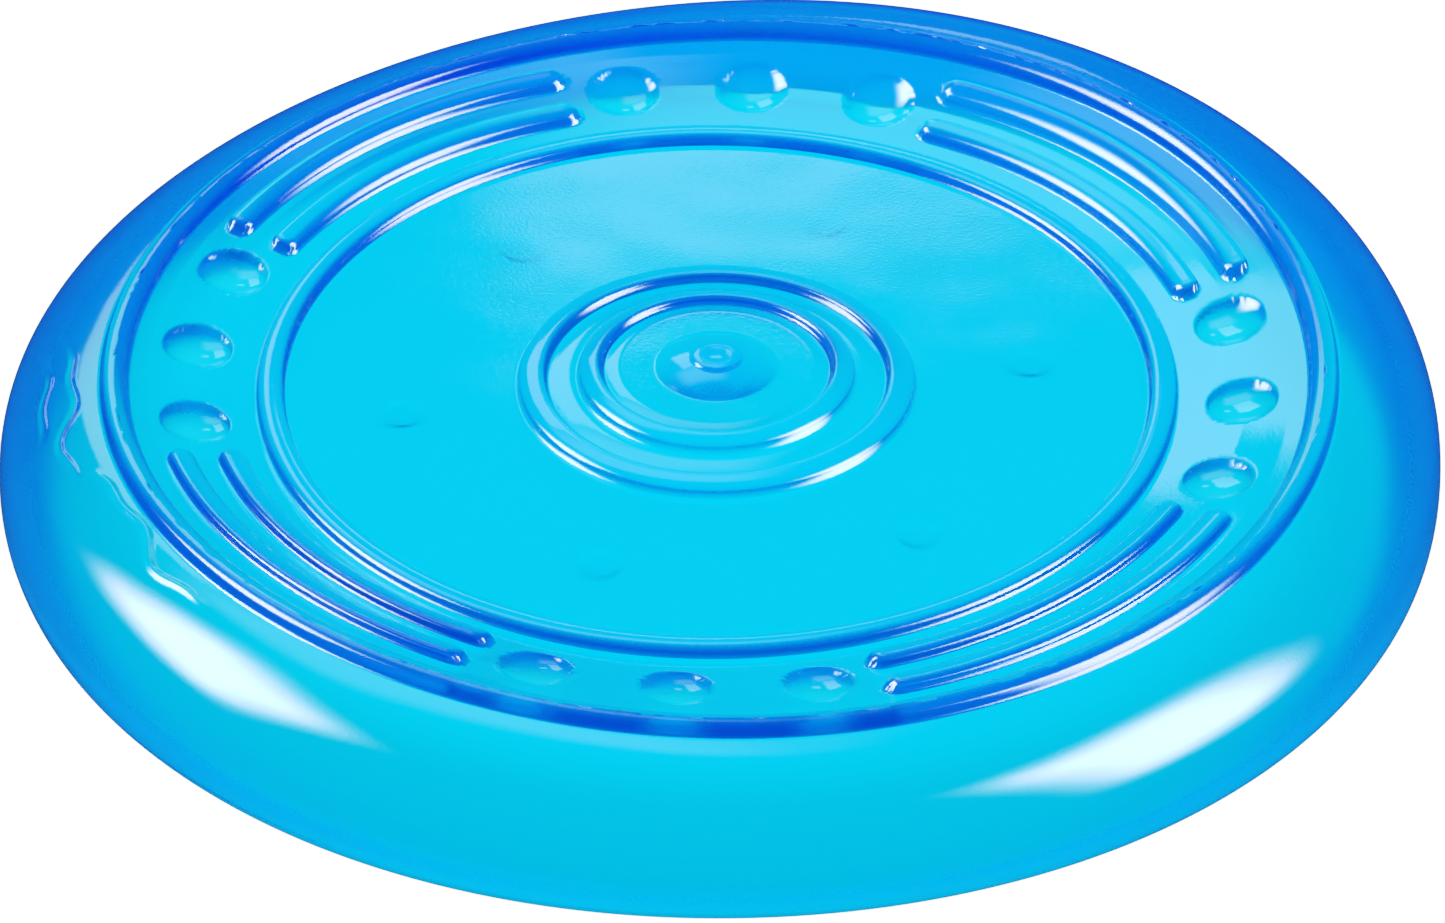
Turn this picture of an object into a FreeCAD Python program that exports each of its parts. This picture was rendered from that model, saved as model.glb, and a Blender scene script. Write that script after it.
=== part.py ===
import FreeCAD, Part
import math
import os

import Sketcher

# A soft flying disc, one moulding of clear blue rubber. It is modelled as the closed zones that the
# moulding is made of, from the boss at its centre to the lip that it stands on. Each zone is turned
# about Z and meets the next one on a cylinder, a cone or a plane, with no gap and no overlap.
# Millimetres, +Z up. The origin is on the axis, at the level of the lip that the disc rests on.

doc = FreeCAD.newDocument("flying_disc")

# ---------------------------------------------------------------- driving dimensions
SIZES = [
    # the bowl that the hand holds
    ("outer_radius", 115.0, "widest radius of the rim"),
    ("widest_height", 7.2, "height of the widest line above the resting plane"),
    ("lip_radius", 111.8, "outer radius at the foot of the lip"),
    ("lip_width", 3.2, "width of the lip at its foot"),
    ("lip_round", 0.6, "rounding of the lip's two lower edges"),
    ("shell_thickness", 4.0, "wall of the shoulder"),
    ("shoulder_side_arc", 13.0, "radius of the shoulder beside its widest line"),
    # the flat plate and the grip band that climbs from it
    ("plate_top", 18.6, "height of the plate's upper face"),
    ("web_thickness", 3.0, "height of the plate and of the grip band"),
    ("grip_angle", 12.2, "climb of the grip band, degrees"),
    # the raised rings and ribs, all of one half-round section
    ("inner_ring_radius", 71.0, "radius of the inner ring's crest"),
    ("ring_pitch", 8.3, "step from ring to rib to rib to ring"),
    ("rib_half_width", 2.3, "half the width of a rib at its foot"),
    ("rib_height", 1.9, "height of a rib above its foot"),
    ("rib_sweep", 44.4, "length of a grip rib, degrees"),
    # the dimples
    ("dimple_radius", 5.6, "radius of a dimple at its edge"),
    ("dimple_depth", 1.6, "depth of a dimple"),
    ("dimple_step", 14.85, "angle between dimples, degrees"),
    ("pattern_turn", -3.4, "turn of the whole pattern about Z, degrees"),
    # the hub
    ("hub_ring_radius", 29.4, "radius of the outer hub ring's crest"),
    ("hub_ring_half_width", 2.4, "half the width of the outer hub ring"),
    ("hub_ring_height", 1.75, "height of the outer hub ring"),
    ("inner_hub_radius", 20.2, "radius of the inner hub ring's crest"),
    ("inner_hub_half_width", 2.0, "half the width of the inner hub ring"),
    ("inner_hub_height", 1.5, "height of the inner hub ring"),
    ("hub_foot_rise", 0.8, "rise of the plate just inside the outer hub ring"),
    ("hub_step_rise", 1.6, "rise at the foot of the inner hub ring"),
    ("hub_floor_rise", 2.7, "rise just inside the inner hub ring"),
    ("boss_rise", 3.1, "rise at the edge of the centre boss"),
    ("boss_radius", 9.8, "radius of the centre boss"),
    ("boss_height", 2.2, "height of the centre boss"),
    ("gate_radius", 4.1, "radius of the moulding gate's scar"),
    ("gate_height", 0.4, "height of the moulding gate's scar"),
]
sizes = doc.addObject("Spreadsheet::Sheet", "Sizes")
for row, (name, value, meaning) in enumerate(SIZES, start=1):
    sizes.set("A%d" % row, str(value))
    sizes.setAlias("A%d" % row, name)
    sizes.set("B%d" % row, meaning)
doc.recompute()

# Sizes that follow from the sheet, as expressions.
GRIP_START = "(Sizes.inner_ring_radius + Sizes.rib_half_width)"
CREST_RADIUS = "(Sizes.inner_ring_radius + 3 * Sizes.ring_pitch)"
GRIP_END = "(%s - Sizes.rib_half_width)" % CREST_RADIUS
SHOULDER_START = "(%s + Sizes.rib_half_width)" % CREST_RADIUS
PLATE_END = "(Sizes.inner_ring_radius - Sizes.rib_half_width)"
HUB_END = "(Sizes.hub_ring_radius + Sizes.hub_ring_half_width)"
HUB_FOOT = "(Sizes.hub_ring_radius - Sizes.hub_ring_half_width)"
STEP_OUTER = "(Sizes.inner_hub_radius + Sizes.inner_hub_half_width)"
STEP_INNER = "(Sizes.inner_hub_radius - Sizes.inner_hub_half_width)"
PLATE_BASE = "(Sizes.plate_top - Sizes.web_thickness)"


def grip_top(radius):
    """Height of the grip band's upper face at a radius."""
    return "(Sizes.plate_top + (%s - %s) * tan(Sizes.grip_angle * 1 deg))" % (radius, GRIP_START)


def arc_radius(half_width, height):
    """Radius of the arc with this half chord and this rise."""
    return "((%s ^ 2 + %s ^ 2) / (2 * %s))" % (half_width, height, height)


def value_of(expression):
    """The number that an expression gives with the sheet's present sizes."""
    result = sizes.evalExpression(expression.replace("Sizes.", ""))
    return float(getattr(result, "Value", result))


CREST_TOP = grip_top(CREST_RADIUS)
RIB_ARC = arc_radius("Sizes.rib_half_width", "Sizes.rib_height")

# The shoulder is two arcs. The upper one leaves the crest level, the lower one ends upright at the
# widest line, and they share a tangent. Spans run from the crest to the widest line.
SPAN = "(Sizes.outer_radius - %s)" % CREST_RADIUS
FALL = "(%s - Sizes.widest_height)" % CREST_TOP
SIDE_ARC = "Sizes.shoulder_side_arc"
TOP_ARC = "((%s ^ 2 + %s ^ 2 - 2 * %s * %s) / (2 * (%s - %s)))" % (SPAN, FALL, SPAN, SIDE_ARC, FALL, SIDE_ARC)
TOP_CENTRE_HEIGHT = "(%s - %s)" % (CREST_TOP, TOP_ARC)
SIDE_CENTRE_RADIUS = "(Sizes.outer_radius - %s)" % SIDE_ARC
REACH = "((%s - %s) / (%s - %s))" % (SIDE_CENTRE_RADIUS, CREST_RADIUS, TOP_ARC, SIDE_ARC)
CLIMB = "((Sizes.widest_height - %s) / (%s - %s))" % (TOP_CENTRE_HEIGHT, TOP_ARC, SIDE_ARC)


def shoulder_top(radius, depth):
    """Height of the shoulder's upper arc at a radius, at a depth inside the outer face."""
    rise = "sqrt((%s - %s) ^ 2 - (%s - %s) ^ 2)" % (TOP_ARC, depth, radius, CREST_RADIUS)
    return "(%s + %s)" % (TOP_CENTRE_HEIGHT, rise)


def joint_point(depth):
    """Radius and height where the shoulder's two arcs meet, at a depth inside the outer face."""
    return (
        "(%s + %s * (%s - %s))" % (SIDE_CENTRE_RADIUS, REACH, SIDE_ARC, depth),
        "(Sizes.widest_height + %s * (%s - %s))" % (CLIMB, SIDE_ARC, depth),
    )


# ---------------------------------------------------------------- sketching a zone
def origin_part(body, role):
    """A plane or an axis of the body's own origin."""
    return next(part for part in body.Origin.OriginFeatures if part.Role == role)


def arc_between(start, end, radius, bulge):
    """The shorter arc from start to end. A bulge of 1 puts its centre left of that direction."""
    chord = end - start
    half = chord.Length / 2.0
    aside = FreeCAD.Vector(-chord.y, chord.x, 0).normalize() * math.sqrt(radius ** 2 - half ** 2)
    centre = (start + end) * 0.5 + aside * bulge
    angles = [math.atan2((point - centre).y, (point - centre).x) for point in (start, end)]
    first, last = angles if bulge > 0 else reversed(angles)
    return Part.ArcOfCircle(Part.Circle(centre, FreeCAD.Vector(0, 0, 1), radius), first, last)


def pin(sketch, edge, end, direction, expression):
    """Holds one coordinate of an edge's end at an expression of the sheet."""
    if expression == "0":
        axis = -2 if direction == "DistanceX" else -1
        sketch.addConstraint(Sketcher.Constraint("PointOnObject", edge, end, axis))
        return
    number = sketch.addConstraint(Sketcher.Constraint(direction, -1, 1, edge, end, value_of(expression)))
    sketch.setExpression("Constraints[%d]" % number, expression)


def turned_zone(label, outline):
    """A body turned about Z from a closed outline of corners, taken anticlockwise.

    Each corner is (radius, height) and is reached by a straight edge, or (radius, height, arc
    radius, bulge) and is reached by an arc. All are expressions of the sheet.
    """
    body = doc.addObject("PartDesign::Body", label)
    sketch = body.newObject("Sketcher::SketchObject", label + "_outline")
    sketch.AttachmentSupport = [(origin_part(body, "XZ_Plane"), "")]
    sketch.MapMode = "FlatFace"
    points = [FreeCAD.Vector(value_of(corner[0]), value_of(corner[1]), 0) for corner in outline]
    starts = []
    for index, corner in enumerate(outline):
        start, end = points[index - 1], points[index]
        if len(corner) == 2:
            edge = sketch.addGeometry(Part.LineSegment(start, end), False)
            starts.append((1, 2))
            continue
        radius, bulge = corner[2:]
        edge = sketch.addGeometry(arc_between(start, end, value_of(radius), bulge), False)
        starts.append((1, 2) if bulge > 0 else (2, 1))
        number = sketch.addConstraint(Sketcher.Constraint("Radius", edge, value_of(radius)))
        sketch.setExpression("Constraints[%d]" % number, radius)
    for index, corner in enumerate(outline):
        following = (index + 1) % len(outline)
        meeting = (index, starts[index][1], following, starts[following][0])
        sketch.addConstraint(Sketcher.Constraint("Coincident", *meeting))
        pin(sketch, index, starts[index][1], "DistanceX", corner[0])
        pin(sketch, index, starts[index][1], "DistanceY", corner[1])
    turn = body.newObject("PartDesign::Revolution", label + "_turned")
    turn.Profile = sketch
    turn.ReferenceAxis = (sketch, ["V_Axis"])
    turn.Angle = 360.0
    return body


# ---------------------------------------------------------------- features of the grip band
def placed_feature(body, kind, name, radius, height, angle, bindings):
    """A PartDesign primitive at a radius, a height and an angle about Z."""
    feature = body.newObject("PartDesign::" + kind, name)
    for quantity, expression in bindings.items():
        feature.setExpression(quantity, expression)
    feature.setExpression("Placement.Base.x", "%s * cos(%s * 1 deg)" % (radius, angle))
    feature.setExpression("Placement.Base.y", "%s * sin(%s * 1 deg)" % (radius, angle))
    feature.setExpression("Placement.Base.z", height)
    return feature


def four_times(body, name, features):
    """Repeats features at each quarter turn, and makes the result the body's tip."""
    pattern = body.newObject("PartDesign::PolarPattern", name)
    pattern.Originals = features
    pattern.Axis = (origin_part(body, "Z_Axis"), [""])
    pattern.Angle = 360.0
    pattern.Occurrences = 4
    body.Tip = pattern


def dimple(body, number):
    """One spherical hollow, square to the sloping band."""
    middle = "(Sizes.inner_ring_radius + 1.5 * Sizes.ring_pitch)"
    ball = arc_radius("Sizes.dimple_radius", "Sizes.dimple_depth")
    lift = "(%s - Sizes.dimple_depth)" % ball
    radius = "(%s - %s * sin(Sizes.grip_angle * 1 deg))" % (middle, lift)
    height = "%s + %s * cos(Sizes.grip_angle * 1 deg)" % (grip_top(middle), lift)
    angle = "(Sizes.pattern_turn + %d * Sizes.dimple_step)" % number
    name = "dimple_%d" % (number + 2)
    return placed_feature(body, "SubtractiveSphere", name, radius, height, angle, {"Radius": ball})


def rib(body, track, quarter):
    """One raised rib along the grip band, in the middle of a quarter, with round ends."""
    radius = "(Sizes.inner_ring_radius + %d * Sizes.ring_pitch)" % track
    height = "%s + Sizes.rib_height - %s" % (grip_top(radius), RIB_ARC)
    middle = "(%d + Sizes.pattern_turn)" % (90 * quarter + 45)
    name = "rib_%d_%d" % (track, quarter + 1)
    length = body.newObject("PartDesign::AdditiveTorus", name)
    length.setExpression("Radius1", radius)
    length.setExpression("Radius2", RIB_ARC)
    length.setExpression("Angle3", "Sizes.rib_sweep * 1 deg")
    length.setExpression("Placement.Base.z", height)
    length.setExpression("Placement.Rotation.Angle", "(%s - Sizes.rib_sweep / 2) * 1 deg" % middle)
    for end, side in (("start", "-"), ("finish", "+")):
        angle = "(%s %s Sizes.rib_sweep / 2)" % (middle, side)
        placed_feature(body, "AdditiveSphere", name + "_" + end, radius, height, angle, {"Radius": RIB_ARC})


# ---------------------------------------------------------------- the zones, from the axis out
BOSS_EDGE = "(Sizes.plate_top + Sizes.boss_rise)"
BOSS_ARC = arc_radius("Sizes.boss_radius", "Sizes.boss_height")
BOSS_CENTRE = "(%s + Sizes.boss_height - %s)" % (BOSS_EDGE, BOSS_ARC)
BOSS_AT_GATE = "(%s + sqrt(%s ^ 2 - Sizes.gate_radius ^ 2))" % (BOSS_CENTRE, BOSS_ARC)
GATE_TOP = "(%s + Sizes.boss_height + Sizes.gate_height)" % BOSS_EDGE


def hub_rise(rise):
    """Upper and lower height of the hub's wall where the plate has risen this much."""
    return "(Sizes.plate_top + Sizes.%s)" % rise, "(%s + Sizes.%s)" % (PLATE_BASE, rise)


edge_top, edge_base = hub_rise("boss_rise")
floor_top, floor_base = hub_rise("hub_floor_rise")
step_top, step_base = hub_rise("hub_step_rise")
foot_top, foot_base = hub_rise("hub_foot_rise")

centre_boss = turned_zone("centre_boss", [
    ("0", edge_base),
    ("Sizes.boss_radius", edge_base),
    ("Sizes.boss_radius", edge_top),
    ("Sizes.gate_radius", BOSS_AT_GATE, BOSS_ARC, 1),
    ("Sizes.gate_radius", GATE_TOP),
    ("0", GATE_TOP),
])

# The chord under the inner hub ring slopes, so its arc is taken on the chord's own half length.
STEP_RISE = "(Sizes.hub_floor_rise - Sizes.hub_step_rise)"
STEP_CHORD = "(sqrt((2 * Sizes.inner_hub_half_width) ^ 2 + %s ^ 2) / 2)" % STEP_RISE
hub_dome = turned_zone("hub_dome", [
    ("Sizes.boss_radius", edge_base),
    (STEP_INNER, floor_base),
    (STEP_OUTER, step_base),
    (HUB_FOOT, foot_base),
    (HUB_FOOT, foot_top),
    (STEP_OUTER, step_top),
    (STEP_INNER, floor_top, arc_radius(STEP_CHORD, "Sizes.inner_hub_height"), 1),
    ("Sizes.boss_radius", edge_top),
])

HUB_CHORD = "(sqrt((2 * Sizes.hub_ring_half_width) ^ 2 + Sizes.hub_foot_rise ^ 2) / 2)"
hub_ring = turned_zone("hub_ring", [
    (HUB_FOOT, foot_base),
    (HUB_END, PLATE_BASE),
    (HUB_END, "Sizes.plate_top"),
    (HUB_FOOT, foot_top, arc_radius(HUB_CHORD, "Sizes.hub_ring_height"), 1),
])

flight_plate = turned_zone("flight_plate", [
    (HUB_END, PLATE_BASE),
    (PLATE_END, PLATE_BASE),
    (PLATE_END, "Sizes.plate_top"),
    (HUB_END, "Sizes.plate_top"),
])

inner_ring = turned_zone("inner_ring", [
    (PLATE_END, PLATE_BASE),
    (GRIP_START, PLATE_BASE),
    (GRIP_START, "Sizes.plate_top"),
    (PLATE_END, "Sizes.plate_top", RIB_ARC, 1),
])

grip_band = turned_zone("grip_band", [
    (GRIP_START, PLATE_BASE),
    (GRIP_END, "(%s - Sizes.web_thickness)" % grip_top(GRIP_END)),
    (GRIP_END, grip_top(GRIP_END)),
    (GRIP_START, "Sizes.plate_top"),
])
four_times(grip_band, "dimples", [dimple(grip_band, number) for number in (-1, 0, 1)])
for quarter in range(4):
    for track in (1, 2):
        rib(grip_band, track, quarter)

RING_CHORD = "(sqrt((2 * Sizes.rib_half_width) ^ 2 + (%s - %s) ^ 2) / 2)" % (
    shoulder_top(SHOULDER_START, "0"), grip_top(GRIP_END))
outer_ring = turned_zone("outer_ring", [
    (GRIP_END, "(%s - Sizes.web_thickness)" % grip_top(GRIP_END)),
    (SHOULDER_START, shoulder_top(SHOULDER_START, "Sizes.shell_thickness")),
    (SHOULDER_START, shoulder_top(SHOULDER_START, "0")),
    (GRIP_END, grip_top(GRIP_END), arc_radius(RING_CHORD, "Sizes.rib_height"), 1),
])

inner_joint, outer_joint = joint_point("Sizes.shell_thickness"), joint_point("0")
shoulder = turned_zone("shoulder", [
    inner_joint + ("(%s - Sizes.shell_thickness)" % TOP_ARC, -1),
    outer_joint,
    (SHOULDER_START, shoulder_top(SHOULDER_START, "0"), TOP_ARC, 1),
    (SHOULDER_START, shoulder_top(SHOULDER_START, "Sizes.shell_thickness")),
])

INNER_WALL = "(Sizes.outer_radius - Sizes.shell_thickness)"
rim_wall = turned_zone("rim_wall", [
    (INNER_WALL, "Sizes.widest_height", "(%s - Sizes.shell_thickness)" % SIDE_ARC, -1),
    ("Sizes.outer_radius", "Sizes.widest_height"),
    outer_joint + (SIDE_ARC, 1),
    inner_joint,
])


def curl_radius(inset):
    """Radius of the arc that leaves the widest line upright and is drawn in by inset at its foot."""
    return "((%s ^ 2 + (Sizes.widest_height - Sizes.lip_round) ^ 2) / (2 * %s))" % (inset, inset)


LIP_INNER = "(Sizes.lip_radius - Sizes.lip_width)"
rim_lip = turned_zone("rim_lip", [
    (LIP_INNER, "Sizes.lip_round", curl_radius("(%s - %s)" % (INNER_WALL, LIP_INNER)), -1),
    ("(%s + Sizes.lip_round)" % LIP_INNER, "0", "Sizes.lip_round", 1),
    ("(Sizes.lip_radius - Sizes.lip_round)", "0"),
    ("Sizes.lip_radius", "Sizes.lip_round", "Sizes.lip_round", 1),
    ("Sizes.outer_radius", "Sizes.widest_height", curl_radius("(Sizes.outer_radius - Sizes.lip_radius)"), 1),
    (INNER_WALL, "Sizes.widest_height"),
])

# ---------------------------------------------------------------- check and write
doc.recompute()
zones = [
    centre_boss, hub_dome, hub_ring, flight_plate, inner_ring,
    grip_band, outer_ring, shoulder, rim_wall, rim_lip,
]
for thing in doc.Objects:
    if "Invalid" in thing.State or "Error" in thing.State:
        raise RuntimeError("%s did not build: %s" % (thing.Label, thing.State))
for zone in zones:
    if zone.Shape.isNull() or not zone.Shape.isValid() or len(zone.Shape.Solids) != 1:
        raise RuntimeError(zone.Label + " is not one valid solid")
os.makedirs("parts", exist_ok=True)
for zone in zones:
    zone.Shape.exportStep(os.path.join("parts", zone.Label + ".step"))
    print("%-13s %8.1f mm3" % (zone.Label, zone.Shape.Volume))
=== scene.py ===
import math

import bpy
import numpy as np
from mathutils import Matrix, Vector


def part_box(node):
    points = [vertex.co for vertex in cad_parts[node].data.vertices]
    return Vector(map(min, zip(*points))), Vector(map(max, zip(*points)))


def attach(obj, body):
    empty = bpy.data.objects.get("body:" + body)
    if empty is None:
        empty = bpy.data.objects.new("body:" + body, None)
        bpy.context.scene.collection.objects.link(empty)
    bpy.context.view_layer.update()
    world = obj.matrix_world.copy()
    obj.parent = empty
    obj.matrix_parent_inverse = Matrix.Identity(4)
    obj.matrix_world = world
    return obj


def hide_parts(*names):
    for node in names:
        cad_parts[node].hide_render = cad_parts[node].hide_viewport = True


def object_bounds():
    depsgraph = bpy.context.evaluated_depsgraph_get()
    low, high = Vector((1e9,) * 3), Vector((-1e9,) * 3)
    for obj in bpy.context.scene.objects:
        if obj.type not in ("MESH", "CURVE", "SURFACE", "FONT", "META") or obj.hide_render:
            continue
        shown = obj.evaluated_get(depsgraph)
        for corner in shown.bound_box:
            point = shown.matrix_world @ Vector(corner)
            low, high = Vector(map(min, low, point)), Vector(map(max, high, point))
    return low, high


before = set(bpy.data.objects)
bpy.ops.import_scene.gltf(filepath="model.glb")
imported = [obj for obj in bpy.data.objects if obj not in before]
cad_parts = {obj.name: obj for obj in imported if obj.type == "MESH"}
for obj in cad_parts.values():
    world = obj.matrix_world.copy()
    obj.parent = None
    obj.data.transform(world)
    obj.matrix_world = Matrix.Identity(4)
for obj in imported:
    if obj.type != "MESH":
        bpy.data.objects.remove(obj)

# A soft, see-through flying disc: one closed skin over all the zones of the CAD model. Its blue is shared
# between a tint on the surface and light lost inside the rubber, so thick and slanting places turn
# deeper by themselves. Metres, +Z up, in the CAD model's frame.

cad_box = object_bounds()
MM = 0.001
QUARTER = math.pi / 2

# ---------------------------------------------------------------- sizes from the frame
RIM_RADIUS = cad_box[1][0]
WIDEST_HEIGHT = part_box("rim_lip")[1][2]
PLATE_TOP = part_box("flight_plate")[1][2]
WEB = PLATE_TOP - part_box("flight_plate")[0][2]
BAND_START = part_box("inner_ring")[1][0]
BAND_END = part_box("grip_band")[1][0]
HUB_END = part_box("hub_ring")[1][0]
HUB_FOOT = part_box("hub_dome")[1][0]
BOSS_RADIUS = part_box("centre_boss")[1][0]

# ---------------------------------------------------------------- the grip band and its two rings
RIB_HALF_WIDTH = 2.3 * MM
RIB_HEIGHT = 1.8 * MM
RIB_HALF_SWEEP = math.radians(22.2)
INNER_RING = BAND_START - RIB_HALF_WIDTH
CREST = BAND_END + RIB_HALF_WIDTH
PITCH = (CREST - INNER_RING) / 3
GRIP_SLOPE = math.tan(math.radians(12.2))
CREST_HEIGHT = PLATE_TOP + (CREST - BAND_START) * GRIP_SLOPE
DIMPLE_RADIUS = 5.6 * MM
DIMPLE_DEPTH = 1.6 * MM
DIMPLE_STEP = math.radians(14.85)
PATTERN_TURN = math.radians(-3.4)

# ---------------------------------------------------------------- the hub
HUB_RISE = 1.5 * MM
HUB_SLOPE = 9 * MM
CORE_RADIUS = 22.7 * MM
CORE_RISE = 1.6 * MM
CORE_SLOPE = 7.5 * MM
HUB_RING = (HUB_END + HUB_FOOT) / 2
HUB_RING_HALF_WIDTH = 2.4 * MM
HUB_RING_HEIGHT = 1.75 * MM
INNER_HUB_RING = 20.2 * MM
INNER_HUB_RING_HALF_WIDTH = 2.0 * MM
INNER_HUB_RING_HEIGHT = 1.7 * MM
BOSS_HEIGHT = 2.1 * MM
SCAR_RADIUS = 4.3 * MM
SCAR_HEIGHT = 0.35 * MM
SCAR_EDGE = 0.6 * MM
PIT_RADIUS = 2.6 * MM
PIT_DEPTH = 0.3 * MM

# ---------------------------------------------------------------- marks left by the moulding
MARK_CIRCLE = 50.5 * MM
MARK_TURN = math.radians(10)
MARK_RADIUS = 4.0 * MM
MARK_HEIGHT = 0.2 * MM
MARK_EDGE = 1.4 * MM
# Flow lines: first and last angle in degrees, and millimetres outside the crest.
FLOW_LINES = ((176, 200, 8.0), (198, 222, 5.5), (176, 192, 12.5))
FLOW_HALF_WIDTH = 0.7 * MM
FLOW_HEIGHT = 0.3 * MM
BROAD_WRINKLE = 1.6 * MM
FINE_WRINKLE = 0.7 * MM
BROAD_WRINKLES = 17
FINE_WRINKLES = 41

# Sections of beads and dimples: (fullness, squareness).
FLATTENED = (0.42, 2.8)
PARABOLA = (1, 2)
BOSS_SECTION = (0.9, 2)
DIMPLE_SECTION = (0.6, 2)

# ---------------------------------------------------------------- the rim
SHELL = 4.0 * MM
LIP_INSET = 3.0 * MM
LIP_WIDTH = 3.2 * MM
SHOULDER_POWER = 2.2
# The rounded inner corner of the foot: distances outwards from the lip's inner side, and heights.
FOOT_CORNER = ((0.6 * MM, 0.0), (0.15 * MM, 0.18 * MM), (0.0, 0.6 * MM))

# ---------------------------------------------------------------- how finely the skin is divided
AROUND = 720
FINEST = 0.2 * MM
FINE = 0.3 * MM
COARSE = 1.0 * MM
SHOULDER_ROWS = 100
CURL_ROWS = 24
LIP_ROWS = 14
INNER_ROWS = 60

# ---------------------------------------------------------------- how far the soft disc is out of true
# Waves: (how many round the disc, cosine part, sine part).
CREST_WAVES = ((2, 0.0, 1.1 * MM), (3, 0.5 * MM, 0.0), (4, -0.6 * MM, 0.0))
RIM_WAVES = ((1, 1.2 * MM, 1.6 * MM), (2, -1.0 * MM, 1.5 * MM), (3, -1.2 * MM, 0.2 * MM), (4, 0.7 * MM, 0.0))
OVAL_WAVES = ((2, 0.2 * MM, 1.2 * MM), (3, 0.35 * MM, 0.0))
FOOT_SHARE = 0.5
CREST_FADE = 20 * MM
CREST_POWER = 1.3
RIM_WAVES_START = 84 * MM
RIM_WAVES_FADE = 29 * MM
OVAL_RADIUS = 110 * MM
SHIFT = 0.7 * MM
SHIFT_ASIDE = 0.4
SHIFT_START = 88 * MM
SHIFT_FADE = 22 * MM


def ramp(value, start, width):
    """Straight rise from 0 at start to 1 at start + width."""
    return np.clip((value - start) / width, 0, 1)


def smooth(value):
    """Smooth step from 0 to 1 as value goes from 0 to 1."""
    t = np.clip(value, 0.0, 1.0)
    return t * t * (3 - 2 * t)


def bead(distance, half_width, height, section=FLATTENED):
    """Height of a raised bead at a distance from its middle."""
    fullness, squareness = section
    return height * np.clip(1 - np.abs(distance / half_width) ** squareness, 0.0, 1.0) ** fullness


# ---------------------------------------------------------------- the upper and lower faces
def web_height(radius):
    """Upper face without its beads and dimples: hub, flat plate and sloping grip band."""
    slope = np.maximum(radius - BAND_START, 0.0) * GRIP_SLOPE
    core = CORE_RISE * smooth((CORE_RADIUS - radius) / CORE_SLOPE)
    hub = HUB_RISE * smooth((HUB_END - radius) / HUB_SLOPE) + core
    return PLATE_TOP + slope + hub


def turned_detail(radius):
    """Beads that run all the way round, the boss and the moulding gate's scar."""
    crest = bead(radius - CREST, RIB_HALF_WIDTH, RIB_HEIGHT)
    rings = bead(radius - INNER_RING, RIB_HALF_WIDTH, RIB_HEIGHT) + crest
    outer = bead(radius - HUB_RING, HUB_RING_HALF_WIDTH, HUB_RING_HEIGHT)
    inner = bead(radius - INNER_HUB_RING, INNER_HUB_RING_HALF_WIDTH, INNER_HUB_RING_HEIGHT)
    hub = outer + inner
    boss = bead(radius, BOSS_RADIUS, BOSS_HEIGHT, BOSS_SECTION)
    step = SCAR_HEIGHT * smooth((SCAR_RADIUS - radius) / SCAR_EDGE)
    scar = step - bead(radius, PIT_RADIUS, PIT_DEPTH, PARABOLA)
    return rings + hub + boss + scar


def grip_detail(radius, angle):
    """The arc ribs and dimples of the grip band."""
    from_rib = (angle - PATTERN_TURN) % QUARTER - QUARTER / 2
    height = np.zeros_like(radius)
    for track in (1, 2):
        rib_radius = INNER_RING + track * PITCH
        past_end = np.maximum(np.abs(from_rib) - RIB_HALF_SWEEP, 0.0) * rib_radius
        height += bead(np.hypot(radius - rib_radius, past_end), RIB_HALF_WIDTH, RIB_HEIGHT)
    from_group = (angle - PATTERN_TURN + QUARTER / 2) % QUARTER - QUARTER / 2
    for place in (-1, 0, 1):
        turn = from_group - place * DIMPLE_STEP
        distance = np.hypot(radius * np.cos(turn) - INNER_RING - 1.5 * PITCH, radius * np.sin(turn))
        height -= bead(distance, DIMPLE_RADIUS, DIMPLE_DEPTH, DIMPLE_SECTION)
    return height


def ejector_marks(radius, angle):
    """Six faint round marks that the mould's ejector pins leave on the underside."""
    sector = math.pi / 3
    turn = (angle - MARK_TURN + sector / 2) % sector - sector / 2
    distance = np.hypot(radius * np.cos(turn) - MARK_CIRCLE, radius * np.sin(turn))
    return MARK_HEIGHT * smooth((MARK_RADIUS - distance) / MARK_EDGE)


def flow_lines(radius, angle):
    """Thin crooked ridges on the shoulder, where the rubber's skin wrinkled as it cooled."""
    ridges = np.zeros_like(radius)
    for start, stop, offset in FLOW_LINES:
        first = math.radians(start)
        last = math.radians(stop)
        along = (angle % (2 * math.pi) - first) / (last - first)
        broad = BROAD_WRINKLE * np.sin(BROAD_WRINKLES * angle)
        line = CREST + offset * MM + broad + FINE_WRINKLE * np.sin(FINE_WRINKLES * angle + offset)
        ends = smooth(along * 6) * smooth((1 - along) * 6)
        ridges += ends * bead(radius - line, FLOW_HALF_WIDTH, FLOW_HEIGHT, PARABOLA)
    return ridges


# ---------------------------------------------------------------- the outline, as rows of the skin
def quarter_curve(start, end, count):
    """Radii and heights along a rounded quarter, from its level end to its upright end."""
    turn = np.linspace(0, QUARTER, count)
    radius = start[0] + (end[0] - start[0]) * np.sin(turn) ** (2 / SHOULDER_POWER)
    height = end[1] + (start[1] - end[1]) * np.cos(turn) ** (2 / SHOULDER_POWER)
    return np.stack([radius, height], 1)


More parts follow.
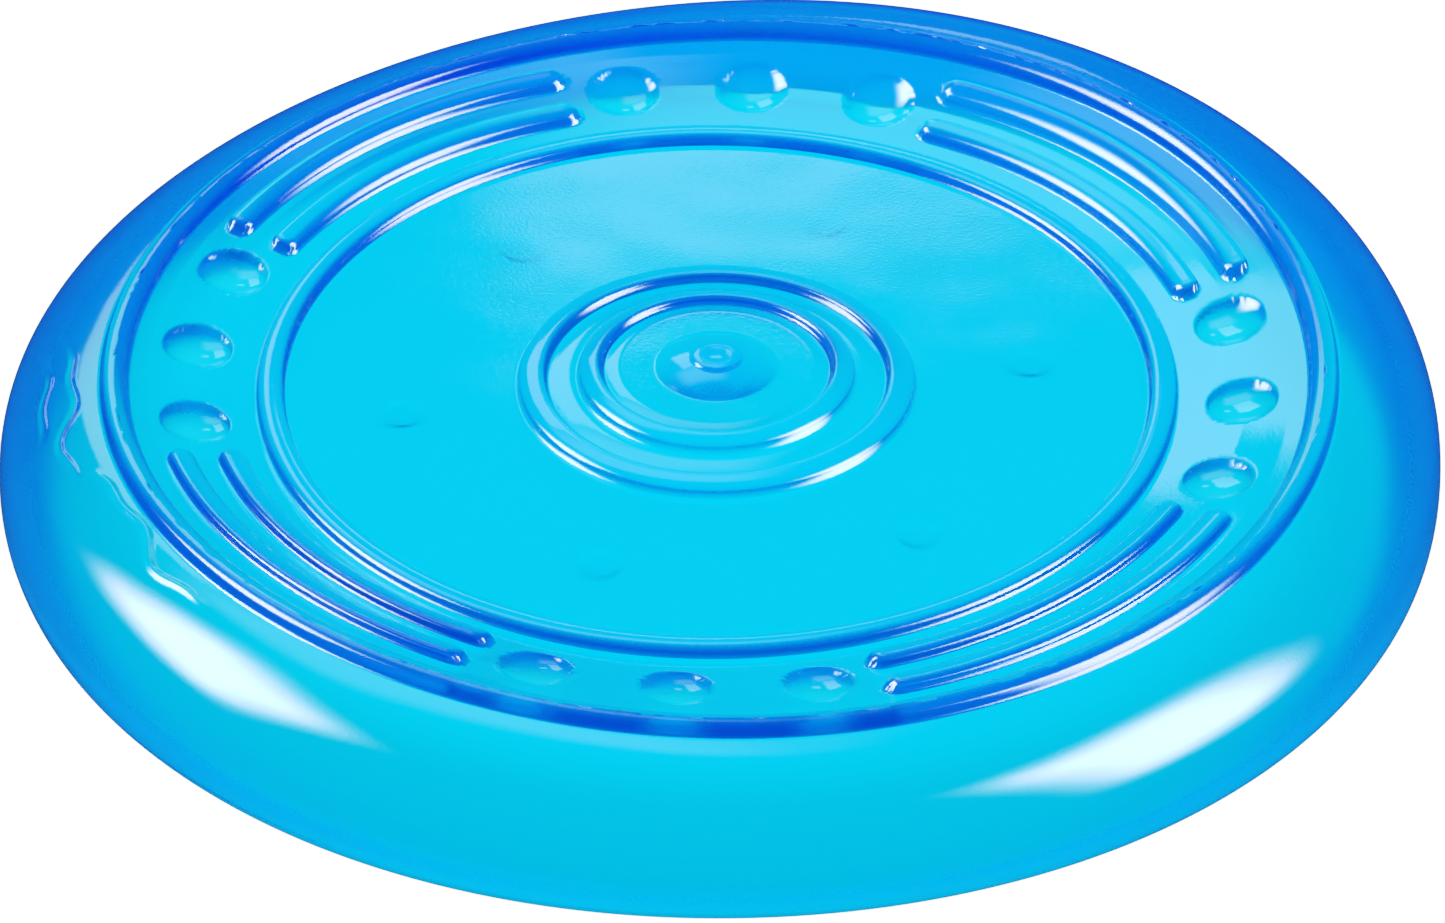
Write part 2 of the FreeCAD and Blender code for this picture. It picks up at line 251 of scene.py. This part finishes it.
def skin_rows():
    """The outline from the top of the axis round the rim to the underside of the axis.

    Gives each row's radius and height, 1 where it belongs to the matt inside of the bowl, and 1 where it
    carries the upper side's detail or -1 where it carries the underside's.
    """
    face = np.concatenate([
        np.arange(FINE, HUB_END + FINE, FINE),
        np.arange(HUB_END + COARSE, INNER_RING - RIB_HALF_WIDTH - COARSE, COARSE),
        np.arange(INNER_RING - RIB_HALF_WIDTH - FINEST, CREST, FINEST),
    ])
    top = np.stack([face, web_height(face)], 1)
    shoulder = quarter_curve((CREST, CREST_HEIGHT), (RIM_RADIUS, WIDEST_HEIGHT), SHOULDER_ROWS)
    turn = np.linspace(0, QUARTER, CURL_ROWS)[1:]
    curl = np.stack([RIM_RADIUS - LIP_INSET * (1 - np.cos(turn)), WIDEST_HEIGHT * (1 - np.sin(turn))], 1)
    inner_foot = RIM_RADIUS - LIP_INSET - LIP_WIDTH
    sole = np.array(FOOT_CORNER) + (inner_foot, 0.0)
    sole_top = FOOT_CORNER[-1][1]
    wall = RIM_RADIUS - SHELL
    rise = np.linspace(0, 1, LIP_ROWS)[1:-1]
    lip_radius = inner_foot + (wall - inner_foot) * (1 - (1 - rise) ** 2)
    inner_lip = np.stack([lip_radius, sole_top + (WIDEST_HEIGHT - sole_top) * rise], 1)
    inner = quarter_curve((CREST, CREST_HEIGHT - WEB), (wall, WIDEST_HEIGHT), INNER_ROWS)[::-1]
    back = np.arange(CREST - COARSE, COARSE, -COARSE)
    under = np.stack([back, web_height(back) - WEB], 1)
    rows = np.concatenate([top, shoulder, curl, sole, inner_lip, inner, under])
    matt = np.zeros(len(rows))
    matt[len(top) + len(shoulder) + len(curl) + len(sole):] = 1.0
    detailed = np.zeros(len(rows))
    detailed[:len(top) + len(shoulder)] = 1.0
    detailed[-len(under):] = -1.0
    return rows, matt, detailed


def waves(angle, terms):
    """The sum of waves round the disc at an angle."""
    return sum(cosine * np.cos(count * angle) + sine * np.sin(count * angle) for count, cosine, sine in terms)


def relax(radius, angle, height):
    """Puts the skin slightly out of true, as a soft moulding is. Returns the moved points."""
    crest = ramp(radius, INNER_RING, CREST_FADE) ** CREST_POWER
    rim = ramp(radius, RIM_WAVES_START, RIM_WAVES_FADE)
    at_foot = 1 - smooth(height / WIDEST_HEIGHT)
    lift = crest * waves(angle, CREST_WAVES) + rim * waves(angle, RIM_WAVES)
    lift = lift * (1 - (1 - FOOT_SHARE) * at_foot)
    moved = radius + radius / OVAL_RADIUS * waves(angle, OVAL_WAVES)
    shift = SHIFT * ramp(radius, SHIFT_START, SHIFT_FADE)
    x = moved * np.cos(angle) + shift
    y = moved * np.sin(angle) - shift * SHIFT_ASIDE
    return np.stack([x, y, height + lift], -1)


def skin_faces(row_count):
    """Quads from row to row, and a fan of triangles at each end of the axis, whose points come last."""
    this = np.arange(AROUND)
    following = (this + 1) % AROUND
    start = (np.arange(row_count - 1) * AROUND)[:, None]
    quads = np.stack([start + this, start + AROUND + this, start + AROUND + following, start + following], -1)
    faces = quads.reshape(-1, 4).tolist()
    pole = row_count * AROUND
    last = pole - AROUND
    pairs = list(zip(this.tolist(), following.tolist()))
    faces += [(pole, a, b) for a, b in pairs]
    faces += [(pole + 1, last + b, last + a) for a, b in pairs]
    return faces


def disc_skin():
    """The whole moulding as one closed mesh, and how far it was raised to stand on its lowest point."""
    rows, matt, detailed = skin_rows()
    turns = np.linspace(0, 2 * math.pi, AROUND, endpoint=False)[None, :]
    angle = np.repeat(turns, len(rows), axis=0)
    radius = np.repeat(rows[:, :1], AROUND, axis=1)
    height = np.repeat(rows[:, 1:], AROUND, axis=1)
    upper = (detailed > 0)[:, None]
    lower = (detailed < 0)[:, None]
    detail = turned_detail(radius) + grip_detail(radius, angle) + flow_lines(radius, angle)
    height = height + upper * detail
    height = height - lower * ejector_marks(radius, angle)
    points = relax(radius, angle, height).reshape(-1, 3)
    poles = np.array([points[:AROUND].mean(0), points[-AROUND:].mean(0)])
    points = np.concatenate([points, poles])
    standing = -points[:, 2].min()
    points[:, 2] += standing

    mesh = bpy.data.meshes.new("disc_skin")
    mesh.from_pydata(points.tolist(), [], skin_faces(len(rows)))
    mesh.shade_smooth()
    underside = mesh.attributes.new("underside", "FLOAT", "POINT")
    matt_points = np.concatenate([np.repeat(matt, AROUND), [0.0, 1.0]])
    underside.data.foreach_set("value", matt_points.astype(np.float32))
    skin = bpy.data.objects.new("disc_skin", mesh)
    bpy.context.collection.objects.link(skin)
    return skin, standing


# ---------------------------------------------------------------- materials
RUBBER_TINT = (0.2, 0.69, 1, 1)
RUBBER_DEPTH = (0.0, 0.966, 0.9966, 1)
RUBBER_DENSITY = 2500.0
RUBBER_IOR = 1.49
OUTSIDE_ROUGHNESS = 0.03
INSIDE_ROUGHNESS = 0.35
# Fine grain and broad unevenness of the surface: noise scale, bump strength and bump height.
GRAIN = (1800.0, 0.06, 0.0001)
UNEVENNESS = (45.0, 0.1, 0.001)

ROOM_LIGHT = 1.65
FLOOR_COLOUR = (0.02, 0.02, 0.02, 1)
FLOOR_ROUGHNESS = 0.8
FLOOR_SIZE = 20
FLOOR_GAP = 0.2 * MM
# Where shade is painted into the floor's own light, standing in for the disc's shadow: a middle, and the
# distances from it at which the painted shade begins and is full.
UNDER_DISC = ((0, 0, 0), 0.97 * RIM_RADIUS, 0.9 * RIM_RADIUS)
UNDER_RIM = ((0, 0.17 * RIM_RADIUS, 0), 0.76 * RIM_RADIUS, 0.92 * RIM_RADIUS)
DISC_PAINTED_SHADE = 0.04
RIM_PAINTED_SHADE = 0.28


def add_node(tree, kind, **inputs):
    """A shader node with some of its inputs set: a value, or another node's output to link."""
    node = tree.nodes.new(kind)
    for name, value in inputs.items():
        socket = node.inputs[name.replace("_", " ")]
        if isinstance(value, bpy.types.NodeSocket):
            tree.links.new(value, socket)
        else:
            socket.default_value = value
    return node


def maths(tree, operation, *values):
    """The result of a math node on numbers and other nodes' outputs."""
    node = tree.nodes.new("ShaderNodeMath")
    node.operation = operation
    for socket, value in zip(node.inputs, values):
        if isinstance(value, bpy.types.NodeSocket):
            tree.links.new(value, socket)
        else:
            socket.default_value = value
    return node.outputs["Value"]


def smooth_range(tree, value, low, high):
    """A smooth step from 0 where value is low to 1 where it is high."""
    node = add_node(tree, "ShaderNodeMapRange", Value=value)
    node.interpolation_type = "SMOOTHSTEP"
    node.inputs["From Min"].default_value = low
    node.inputs["From Max"].default_value = high
    return node.outputs["Result"]


def step_of_distance(tree, place, middle, low, high):
    """A smooth step on the distance from a point."""
    away = add_node(tree, "ShaderNodeVectorMath")
    away.operation = "DISTANCE"
    tree.links.new(place, away.inputs[0])
    away.inputs[1].default_value = middle
    return smooth_range(tree, away.outputs["Value"], low, high)


def noise_bump(tree, place, scale, strength, distance):
    """A bump node driven by noise."""
    noise = add_node(tree, "ShaderNodeTexNoise", Vector=place, Scale=scale, Detail=1.0)
    return add_node(tree, "ShaderNodeBump", Strength=strength, Distance=distance, Height=noise.outputs["Fac"])


def clear_blue_rubber():
    """Clear rubber, glossy outside and matt inside the bowl. Tint and thickness together make it blue."""
    material = bpy.data.materials.new("clear_blue_rubber")
    material.use_nodes = True
    tree = material.node_tree
    shader = tree.nodes["Principled BSDF"]
    shader.inputs["Base Color"].default_value = RUBBER_TINT
    shader.inputs["IOR"].default_value = RUBBER_IOR
    shader.inputs["Transmission Weight"].default_value = 1.0
    place = add_node(tree, "ShaderNodeTexCoord").outputs["Object"]
    underside = add_node(tree, "ShaderNodeAttribute")
    underside.attribute_name = "underside"
    gloss = add_node(tree, "ShaderNodeMapRange", Value=underside.outputs["Fac"])
    gloss.inputs["To Min"].default_value = OUTSIDE_ROUGHNESS
    gloss.inputs["To Max"].default_value = INSIDE_ROUGHNESS
    tree.links.new(gloss.outputs["Result"], shader.inputs["Roughness"])
    fine = noise_bump(tree, place, *GRAIN)
    broad = noise_bump(tree, place, *UNEVENNESS)
    tree.links.new(fine.outputs["Normal"], broad.inputs["Normal"])
    tree.links.new(broad.outputs["Normal"], shader.inputs["Normal"])
    inside = add_node(tree, "ShaderNodeVolumeAbsorption", Color=RUBBER_DEPTH, Density=RUBBER_DENSITY)
    tree.links.new(inside.outputs["Volume"], tree.nodes["Material Output"].inputs["Volume"])
    return material


def pale_floor():
    """A floor that gives its own light, with the disc's shadow painted into it: less under the disc, least
    under the rim's front and sides.
    """
    material = bpy.data.materials.new("pale_floor")
    material.use_nodes = True
    tree = material.node_tree
    shader = tree.nodes["Principled BSDF"]
    shader.inputs["Base Color"].default_value = FLOOR_COLOUR
    shader.inputs["Roughness"].default_value = FLOOR_ROUGHNESS
    shader.inputs["Specular IOR Level"].default_value = 0.0
    shader.inputs["Emission Color"].default_value = (1, 1, 1, 1)
    place = add_node(tree, "ShaderNodeTexCoord").outputs["Object"]
    under_disc = step_of_distance(tree, place, *UNDER_DISC)
    under_rim = step_of_distance(tree, place, *UNDER_RIM)
    # Painted shadow: the floor's glow is lowered a little under the disc, and more under the rim's front and
    # sides.
    shade = maths(tree, "MULTIPLY", under_disc, maths(tree, "MULTIPLY_ADD", under_rim, RIM_PAINTED_SHADE, DISC_PAINTED_SHADE))
    level = maths(tree, "MULTIPLY", maths(tree, "SUBTRACT", 1.0, shade), ROOM_LIGHT)
    tree.links.new(level, shader.inputs["Emission Strength"])
    return material


# ---------------------------------------------------------------- the disc and its stage
skin, standing = disc_skin()
skin.data.materials.append(clear_blue_rubber())
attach(skin, "root")
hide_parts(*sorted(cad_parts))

bpy.ops.mesh.primitive_plane_add(size=FLOOR_SIZE, location=(0, 0, -FLOOR_GAP))
floor = bpy.context.object
floor.name = "floor"
floor.data.materials.append(pale_floor())
floor.visible_glossy = False


# ---------------------------------------------------------------- light
BOX_COLOUR = (0.84, 0.97, 1.0)
DIM_ROOM = 0.02
NEARLY_ZERO = 0.001

# Soft boxes that only reflections see: azimuth, elevation, tilt, half width, half height, edge, strength.
SOFT_BOXES = (
    (171, 41, 0, 0.27, 0.24, 0.15, 31.0),
    (-11, 29, 0, 0.27, 0.36, 0.17, 31.0),
    (89.4, 31.9, 14, 0.043, 0.036, 0.006, 2.3),
    (104.5, 35, 0, 0.105, 0.16, 0.015, 2.9),
    (103, 54, 0, 0.2, 0.14, 0.07, 1.7),
)


def direction(azimuth, elevation):
    """Unit vector towards a place in the sky, in degrees."""
    a = math.radians(azimuth)
    e = math.radians(elevation)
    return Vector((math.cos(e) * math.cos(a), math.cos(e) * math.sin(a), math.sin(e)))


def soft_box(tree, ray, azimuth, elevation, tilt, half_width, half_height, edge, strength):
    """A bright rectangle with soft edges in the sky. Sizes are tangents of angles."""
    middle = direction(azimuth, elevation)
    level = Vector((0, 0, 1)).cross(middle).normalized()
    across = Matrix.Rotation(math.radians(tilt), 3, middle) @ level
    upward = middle.cross(across)

    def along(axis):
        dot = add_node(tree, "ShaderNodeVectorMath")
        dot.operation = "DOT_PRODUCT"
        tree.links.new(ray, dot.inputs[0])
        dot.inputs[1].default_value = axis
        return dot.outputs["Value"]

    ahead = along(middle)
    depth = maths(tree, "MAXIMUM", ahead, NEARLY_ZERO)
    light = maths(tree, "GREATER_THAN", ahead, 0.0)
    for axis, half in ((across, half_width), (upward, half_height)):
        offset = maths(tree, "ABSOLUTE", maths(tree, "DIVIDE", along(axis), depth))
        light = maths(tree, "MULTIPLY", light, smooth_range(tree, offset, half + edge, half - edge))
    return maths(tree, "MULTIPLY", light, strength)


def studio_light():
    """An even white room, in which reflections see only the soft boxes."""
    world = bpy.data.worlds.new("studio")
    bpy.context.scene.world = world
    world.use_nodes = True
    tree = world.node_tree
    ray = add_node(tree, "ShaderNodeTexCoord").outputs["Generated"]
    seen = DIM_ROOM
    for box in SOFT_BOXES:
        seen = maths(tree, "ADD", soft_box(tree, ray, *box), seen)
    path = add_node(tree, "ShaderNodeLightPath")
    mirrored = maths(tree, "SUBTRACT", path.outputs["Is Glossy Ray"], path.outputs["Is Transmission Ray"])
    mirrored = maths(tree, "MAXIMUM", mirrored, 0.0)
    strength = add_node(tree, "ShaderNodeMix", Factor=mirrored, A=ROOM_LIGHT, B=seen)
    colour = add_node(tree, "ShaderNodeMixRGB", Fac=mirrored, Color1=(1, 1, 1, 1), Color2=(*BOX_COLOUR, 1))
    backdrop = tree.nodes["Background"]
    tree.links.new(colour.outputs["Color"], backdrop.inputs["Color"])
    tree.links.new(strength.outputs["Result"], backdrop.inputs["Strength"])


studio_light()


# ---------------------------------------------------------------- camera
CAMERA_ELEVATION = math.radians(35.7)
CAMERA_ROLL = math.radians(-1.2)
CAMERA_DISTANCE = 1250 * MM
SENSOR_WIDTH = 36
FOCAL_LENGTH = 195.2
FARTHEST = 100
# The aim point, in the camera's own right and down directions from the plate's middle.
AIM_RIGHT = 1.25 * MM
AIM_DOWN = 12.67 * MM


def photo_camera(subject_height):
    """A long lens, 36 degrees above the table, aimed just short of the disc's middle."""
    camera = bpy.data.cameras.new("camera")
    camera.sensor_width = SENSOR_WIDTH
    camera.lens = FOCAL_LENGTH
    camera.clip_end = FARTHEST
    holder = bpy.data.objects.new("camera", camera)
    bpy.context.collection.objects.link(holder)
    right = Vector((1, 0, 0))
    up = Vector((0, math.sin(CAMERA_ELEVATION), math.cos(CAMERA_ELEVATION)))
    ahead = Vector((0, math.cos(CAMERA_ELEVATION), -math.sin(CAMERA_ELEVATION)))
    place = Vector((0, 0, subject_height)) + AIM_RIGHT * right - AIM_DOWN * up - CAMERA_DISTANCE * ahead
    tilted_right = math.cos(CAMERA_ROLL) * right - math.sin(CAMERA_ROLL) * up
    tilted_up = math.sin(CAMERA_ROLL) * right + math.cos(CAMERA_ROLL) * up
    axes = Matrix((tilted_right, tilted_up, -ahead)).transposed().to_4x4()
    holder.matrix_world = Matrix.Translation(place) @ axes
    bpy.context.scene.camera = holder


photo_camera(PLATE_TOP + standing)


# ---------------------------------------------------------------- exposure and light paths
WHITE_LEVEL = 1.6
# Light levels and the tones they come out as.
TONES = ((0.3, 0.3), (0.55, 0.55), (0.9, 0.72), (1.3, 0.87))


def tone_curve(settings, white, points):
    """A soft shoulder for the brightest tones: white is the light level that comes out as white."""
    settings.view_transform = "Standard"
    settings.use_curve_mapping = True
    mapping = settings.curve_mapping
    mapping.initialize()
    mapping.white_level = (white, white, white)
    combined = mapping.curves[3]
    for light, tone in points:
        combined.points.new(light / white, tone)
    mapping.update()


scene = bpy.context.scene
tone_curve(scene.view_settings, WHITE_LEVEL, TONES)
scene.cycles.max_bounces = 16
scene.cycles.transmission_bounces = 16
scene.cycles.glossy_bounces = 8
scene.cycles.use_denoising = True
